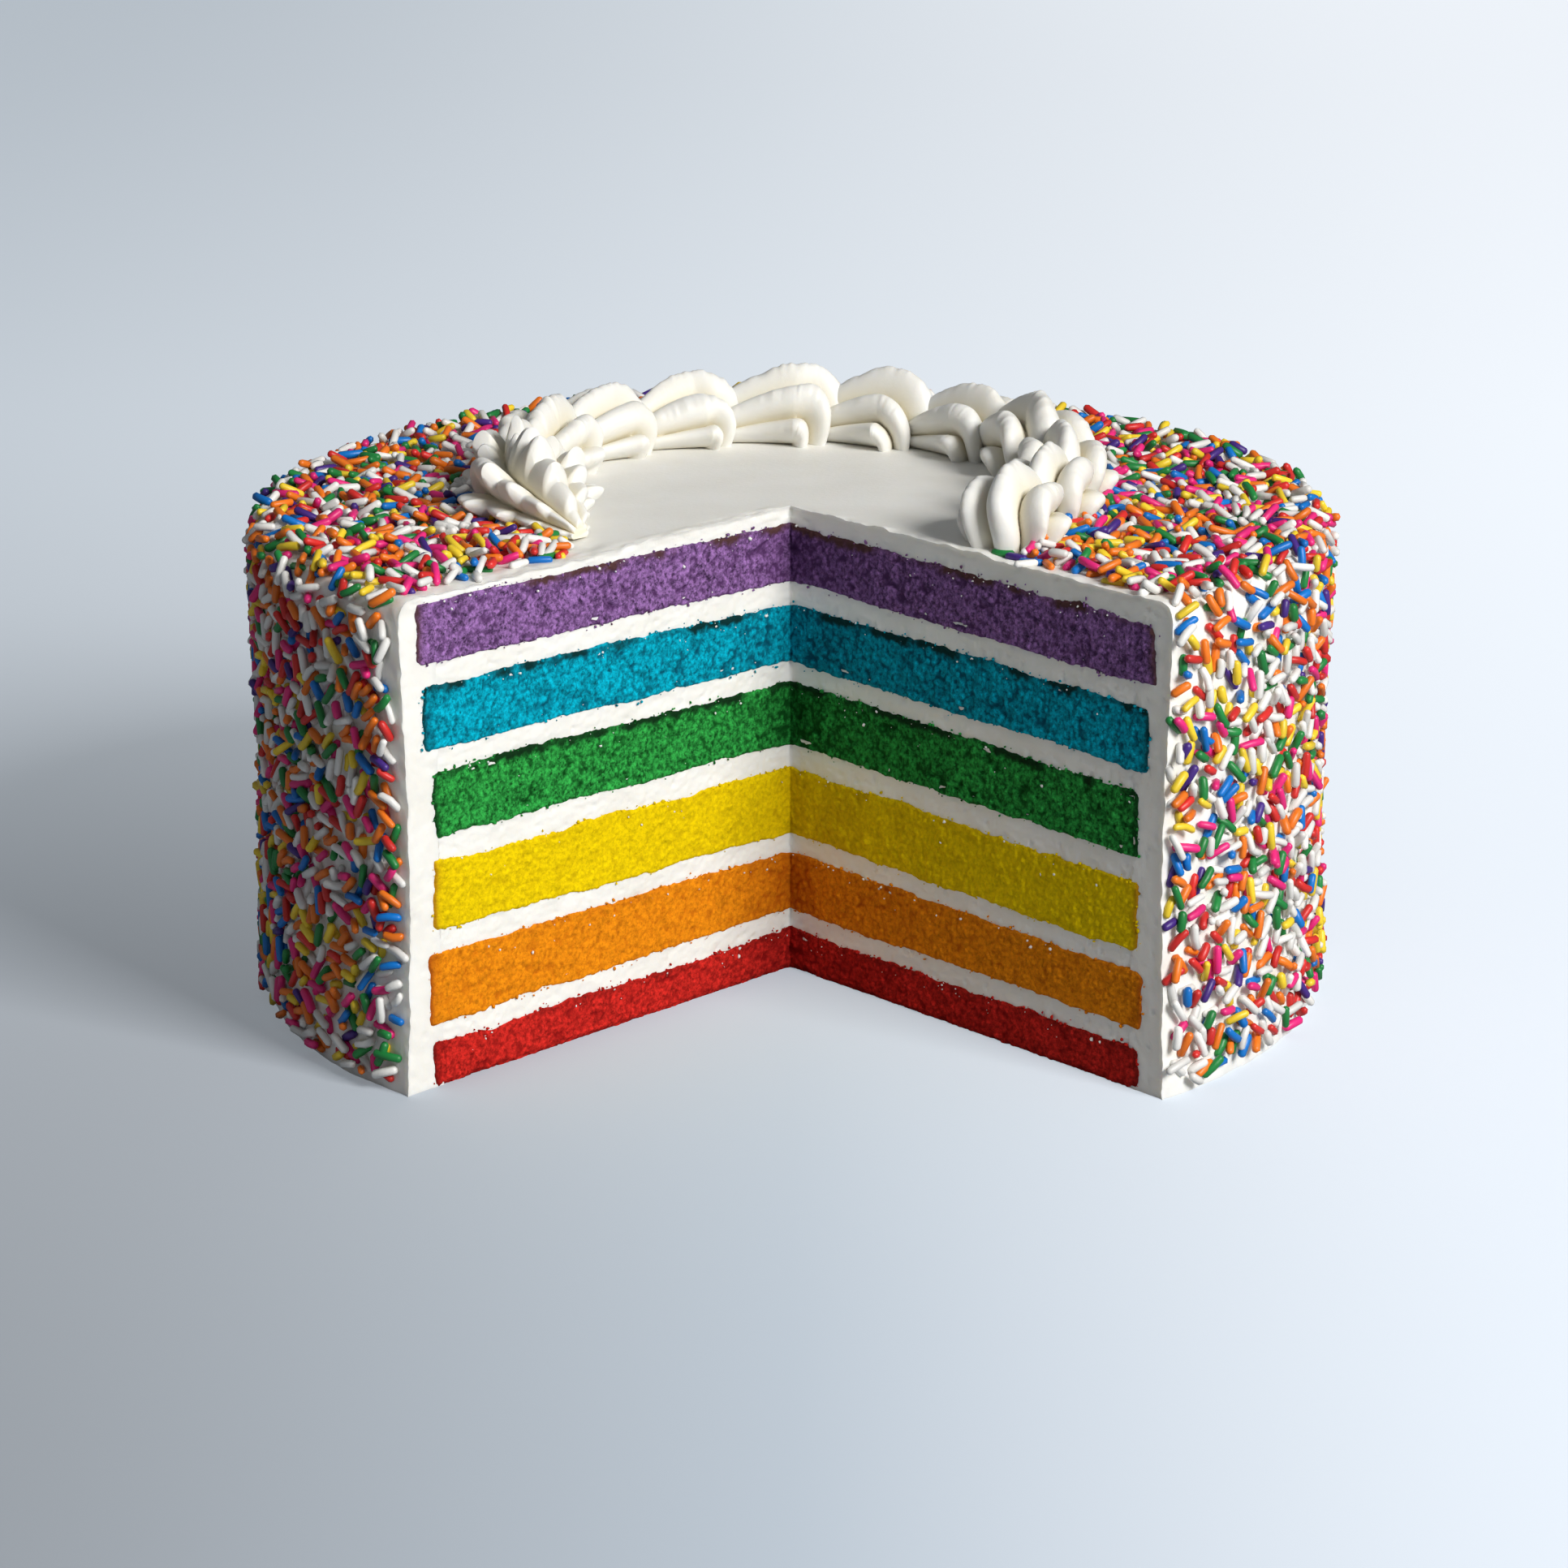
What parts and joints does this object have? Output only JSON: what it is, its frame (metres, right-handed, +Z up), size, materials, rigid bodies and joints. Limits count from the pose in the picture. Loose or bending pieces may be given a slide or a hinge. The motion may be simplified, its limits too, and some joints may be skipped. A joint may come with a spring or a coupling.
{
  "type": "layer cake",
  "caption": "Round rainbow layer cake with a slice taken out, buttercream between the sponge rounds, a coat strewn with sprinkles and a ring of piped shells on top.",
  "frame": {"origin": "the middle of the bounding box's base, on the surface that the cake stands on; the round's own axis stands at y = -13.4 mm", "axes": "+Z up; the missing slice opens towards -Y; +X to the right of someone who looks into it"},
  "size_m": [0.2139, 0.1871, 0.1145],
  "materials": {
    "sponge_red": "open sponge crumb",
    "sponge_orange": "open sponge crumb",
    "sponge_yellow": "open sponge crumb",
    "sponge_green": "open sponge crumb",
    "sponge_blue": "open sponge crumb",
    "sponge_violet": "open sponge crumb",
    "buttercream": "soft satin cream, cut with a knife",
    "piped_cream": "soft satin cream, piped through a star tip"
  },
  "bodies": {
    "root": {"sponge_red": "sponge_red", "sponge_orange": "sponge_orange", "sponge_yellow": "sponge_yellow", "sponge_green": "sponge_green", "sponge_blue": "sponge_blue", "sponge_violet": "sponge_violet", "filling_1": "buttercream", "filling_2": "buttercream", "filling_3": "buttercream", "filling_4": "buttercream", "filling_5": "buttercream", "coat": "buttercream", "shell_01": "piped_cream", "shell_02": "piped_cream", "shell_03": "piped_cream", "shell_04": "piped_cream", "shell_05": "piped_cream", "shell_06": "piped_cream", "shell_07": "piped_cream", "shell_08": "piped_cream", "shell_09": "piped_cream", "shell_10": "piped_cream", "shell_11": "piped_cream", "shell_12": "piped_cream"}
  },
  "joints": []
}
